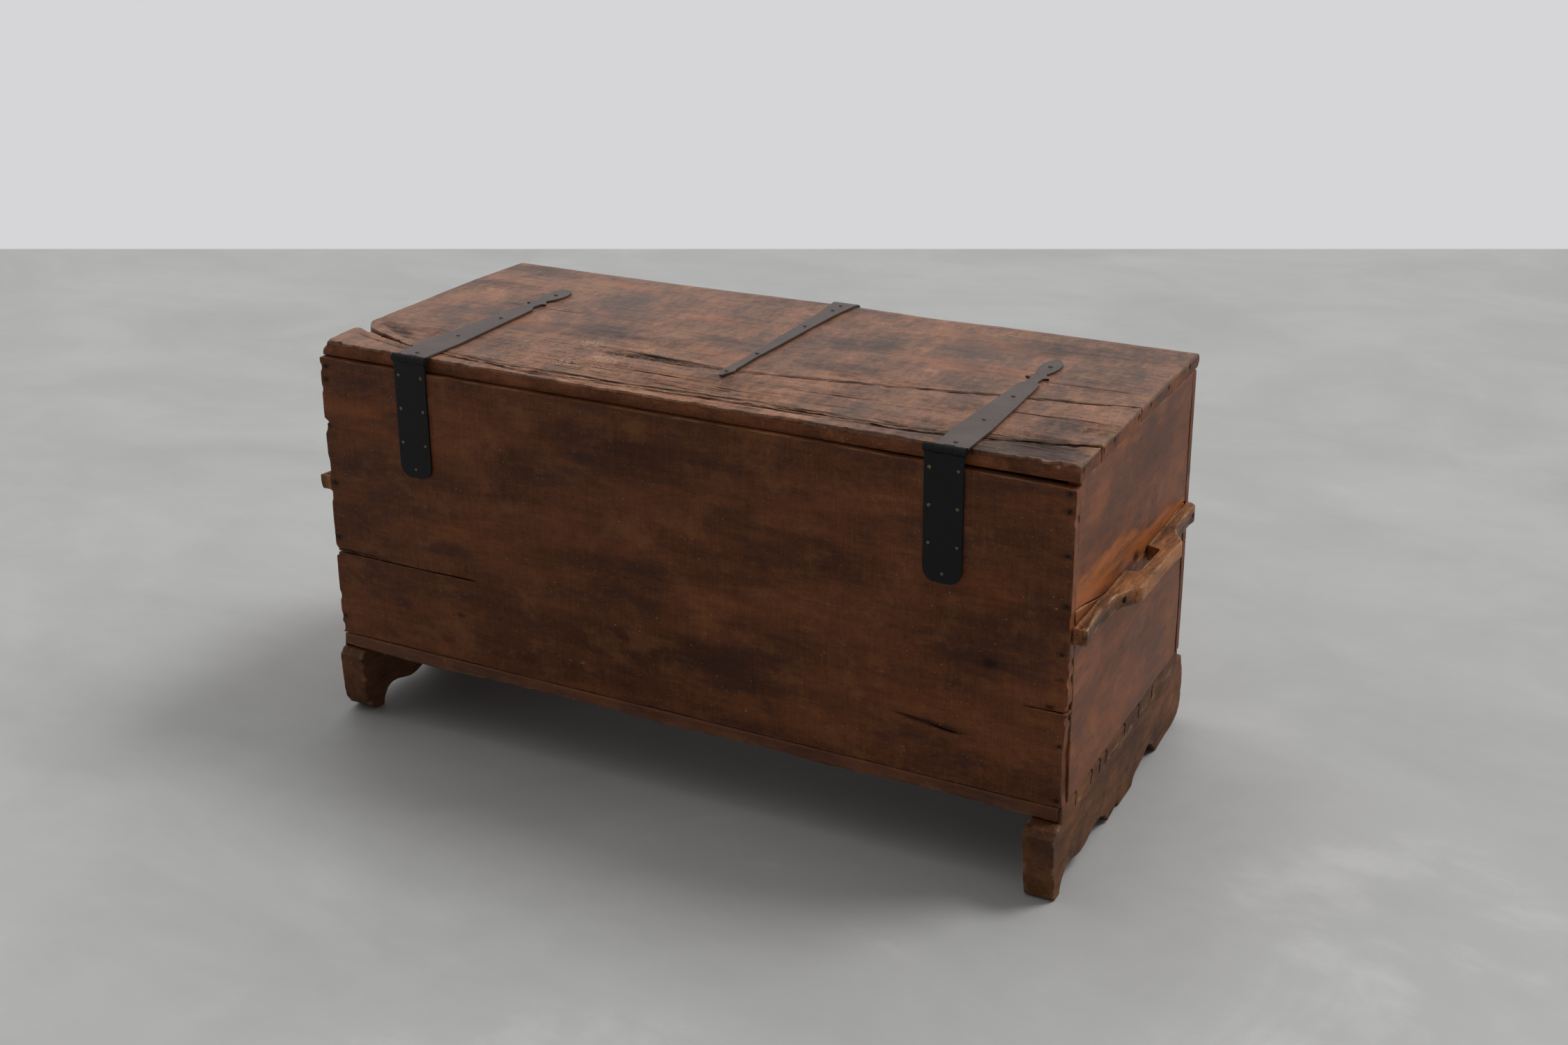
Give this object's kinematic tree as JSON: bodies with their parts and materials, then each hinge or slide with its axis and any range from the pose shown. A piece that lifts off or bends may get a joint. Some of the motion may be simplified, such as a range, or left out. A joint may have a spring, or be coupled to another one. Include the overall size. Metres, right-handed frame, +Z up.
{
  "type": "wooden blanket chest",
  "caption": "Antique boarded wooden chest on scalloped skids, with bowed side handles, a nosed plank lid on long iron strap hinges and a hanging iron hasp at the front.",
  "frame": {"origin": "bottom centre of the whole chest, on the floor", "axes": "+Z up, +X along the chest, -Y towards the hinge side, +Y towards the hasp"},
  "size_m": [1.34, 0.62, 0.6426],
  "materials": {
    "wall_wood": "dark waxed softwood, rubbed and mottled",
    "end_wood": "worn brown wax over softwood",
    "floor_wood": "dry rough softwood",
    "lid_wood": "worn brown wax with stains and open cracks",
    "skid_wood": "rough hewn and greyed by wear",
    "handle_wood": "rubbed pale at the edges",
    "batten_wood": "dry softwood",
    "black_iron": "forged iron, blackened, low sheen",
    "nail_iron": "rusty dark iron",
    "worn_screw": "rubbed screw heads"
  },
  "bodies": {
    "chest": {"back_board_lower": "wall_wood", "back_board_upper": "wall_wood", "front_board_lower": "wall_wood", "front_board_upper": "wall_wood", "left_end_board_lower": "end_wood", "left_end_board_upper": "end_wood", "right_end_board_lower": "end_wood", "right_end_board_upper": "end_wood", "bottom_board_rear": "floor_wood", "bottom_board_middle": "floor_wood", "bottom_board_front": "floor_wood", "left_skid": "skid_wood", "right_skid": "skid_wood", "left_handle": "handle_wood", "right_handle": "handle_wood", "left_handle_bolts": "nail_iron", "right_handle_bolts": "nail_iron", "left_hinge_leaf": "black_iron", "right_hinge_leaf": "black_iron", "left_hinge_pin": "black_iron", "right_hinge_pin": "black_iron", "left_leaf_screws": "worn_screw", "right_leaf_screws": "worn_screw", "hasp_staple": "black_iron", "back_nails": "nail_iron", "front_nails": "nail_iron", "floor_nails": "nail_iron"},
    "lid": {"lid_board_rear": "lid_wood", "lid_board_middle": "lid_wood", "lid_board_front": "lid_wood", "lid_batten_left": "batten_wood", "lid_batten_right": "batten_wood", "left_hinge_strap": "black_iron", "right_hinge_strap": "black_iron", "left_strap_nails": "nail_iron", "right_strap_nails": "nail_iron", "hasp_strap": "black_iron", "hasp_strap_nails": "nail_iron", "hasp_pin": "black_iron"},
    "hasp": {"hasp": "black_iron"}
  },
  "joints": [
    {"name": "lid_hinge", "type": "hinge", "parent": "chest", "child": "lid", "pos_m": [0, -0.2755, 0.6345], "axis": [1, 0, 0], "range_deg": [0, 110]},
    {"name": "hasp_swing", "type": "hinge", "parent": "lid", "child": "hasp", "pos_m": [0.025, 0.2885, 0.614], "axis": [1, 0, 0], "range_deg": [-8, 130]}
  ]
}
